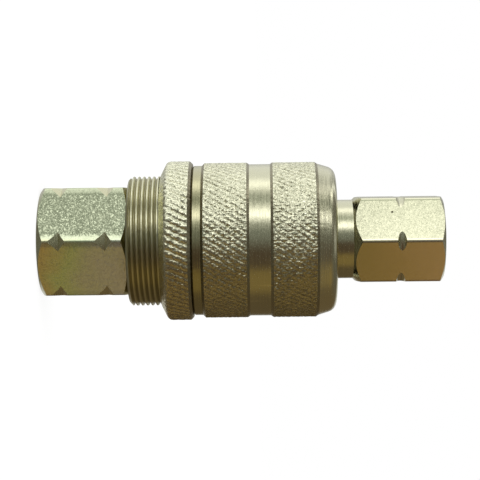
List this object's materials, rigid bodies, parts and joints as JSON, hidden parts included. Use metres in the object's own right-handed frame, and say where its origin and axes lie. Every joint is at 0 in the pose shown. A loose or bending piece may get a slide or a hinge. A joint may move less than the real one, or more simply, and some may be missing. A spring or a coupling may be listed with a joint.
{
  "type": "female quick coupler",
  "caption": "Ball-lock quick coupler with knurled sliding sleeve and screw lock ring, joined to its hexagonal plug; both ends have threaded ports.",
  "frame": {"origin": "centre of the inlet end face, on the floor plane the set stands on", "axes": "+Z along the common axis from the inlet port to the plug's outlet port; +Y away from the side shown in the picture"},
  "size_m": [0.048, 0.048, 0.1205],
  "materials": {
    "zinc_plated_steel": "yellow zinc plating, satin",
    "spring_steel": "drawn wire",
    "valve_steel": "turned",
    "ball_steel": "polished",
    "nitrile": "moulded",
    "backup_plastic": "matte"
  },
  "bodies": {
    "coupler": {"coupler_body": "zinc_plated_steel", "coupler_adapter": "zinc_plated_steel", "adapter_seal": "nitrile", "sleeve_spring": "spring_steel", "sleeve_stop_ring": "spring_steel", "plug_seal": "nitrile", "backup_ring": "backup_plastic", "coupler_valve_guide": "valve_steel", "coupler_valve_spring": "spring_steel"},
    "sleeve": {"sleeve": "zinc_plated_steel"},
    "lock_ring": {"lock_ring": "zinc_plated_steel"},
    "plug": {"plug_body": "zinc_plated_steel", "plug_valve_guide": "valve_steel", "plug_valve_spring": "spring_steel", "plug_valve_clip": "spring_steel"},
    "coupler_valve": {"coupler_valve": "valve_steel", "coupler_valve_seal": "nitrile"},
    "plug_valve": {"plug_valve": "valve_steel", "plug_valve_seal": "nitrile"},
    "ball_1": {"locking_ball_1": "ball_steel"},
    "ball_2": {"locking_ball_2": "ball_steel"},
    "ball_3": {"locking_ball_3": "ball_steel"},
    "ball_4": {"locking_ball_4": "ball_steel"},
    "ball_5": {"locking_ball_5": "ball_steel"},
    "ball_6": {"locking_ball_6": "ball_steel"},
    "ball_7": {"locking_ball_7": "ball_steel"},
    "ball_8": {"locking_ball_8": "ball_steel"}
  },
  "joints": [
    {"name": "lock_ring_turn", "type": "hinge", "parent": "sleeve", "child": "lock_ring", "pos_m": [0, 0, 0.0408], "axis": [0, 0, 1], "range_deg": [-1800, 0]},
    {"name": "sleeve_slide", "type": "slide", "parent": "coupler", "child": "sleeve", "axis": [0, 0, 1], "range_m": [-0.0075, 0], "stiffness_N_per_m": 1500, "springref_m": 0.01, "deforming": ["sleeve_spring"]},
    {"name": "plug_swivel", "type": "hinge", "parent": "coupler", "child": "plug", "pos_m": [0, 0, 0.0787], "axis": [0, 0, 1], "continuous": true},
    {"name": "coupler_valve_slide", "type": "slide", "parent": "coupler", "child": "coupler_valve", "axis": [0, 0, 1], "range_m": [-0.0015, 0.0015], "stiffness_N_per_m": 1200, "deforming": ["coupler_valve_spring"]},
    {"name": "plug_valve_slide", "type": "slide", "parent": "plug", "child": "plug_valve", "axis": [0, 0, 1], "range_m": [-0.0015, 0.0015], "deforming": ["plug_valve_spring"]},
    {"name": "ball_1_slide", "type": "slide", "parent": "coupler", "child": "ball_1", "axis": [1, 0, 0], "range_m": [0, 0.0012]},
    {"name": "ball_2_slide", "type": "slide", "parent": "coupler", "child": "ball_2", "axis": [0.7071, 0.7071, 0], "range_m": [0, 0.0012]},
    {"name": "ball_3_slide", "type": "slide", "parent": "coupler", "child": "ball_3", "axis": [0, 1, 0], "range_m": [0, 0.0012]},
    {"name": "ball_4_slide", "type": "slide", "parent": "coupler", "child": "ball_4", "axis": [-0.7071, 0.7071, 0], "range_m": [0, 0.0012]},
    {"name": "ball_5_slide", "type": "slide", "parent": "coupler", "child": "ball_5", "axis": [-1, 0, 0], "range_m": [0, 0.0012]},
    {"name": "ball_6_slide", "type": "slide", "parent": "coupler", "child": "ball_6", "axis": [-0.7071, -0.7071, 0], "range_m": [0, 0.0012]},
    {"name": "ball_7_slide", "type": "slide", "parent": "coupler", "child": "ball_7", "axis": [0, -1, 0], "range_m": [0, 0.0012]},
    {"name": "ball_8_slide", "type": "slide", "parent": "coupler", "child": "ball_8", "axis": [0.7071, -0.7071, 0], "range_m": [0, 0.0012]}
  ],
  "couplings": [
    {"joint": "lock_ring_turn", "follows": "sleeve_slide", "rad_per_m": 4188.8},
    {"joint": "plug_valve_slide", "follows": "coupler_valve_slide", "ratio": 1},
    {"joint": "ball_1_slide", "follows": "sleeve_slide", "ratio": -0.16},
    {"joint": "ball_2_slide", "follows": "sleeve_slide", "ratio": -0.16},
    {"joint": "ball_3_slide", "follows": "sleeve_slide", "ratio": -0.16},
    {"joint": "ball_4_slide", "follows": "sleeve_slide", "ratio": -0.16},
    {"joint": "ball_5_slide", "follows": "sleeve_slide", "ratio": -0.16},
    {"joint": "ball_6_slide", "follows": "sleeve_slide", "ratio": -0.16},
    {"joint": "ball_7_slide", "follows": "sleeve_slide", "ratio": -0.16},
    {"joint": "ball_8_slide", "follows": "sleeve_slide", "ratio": -0.16}
  ]
}
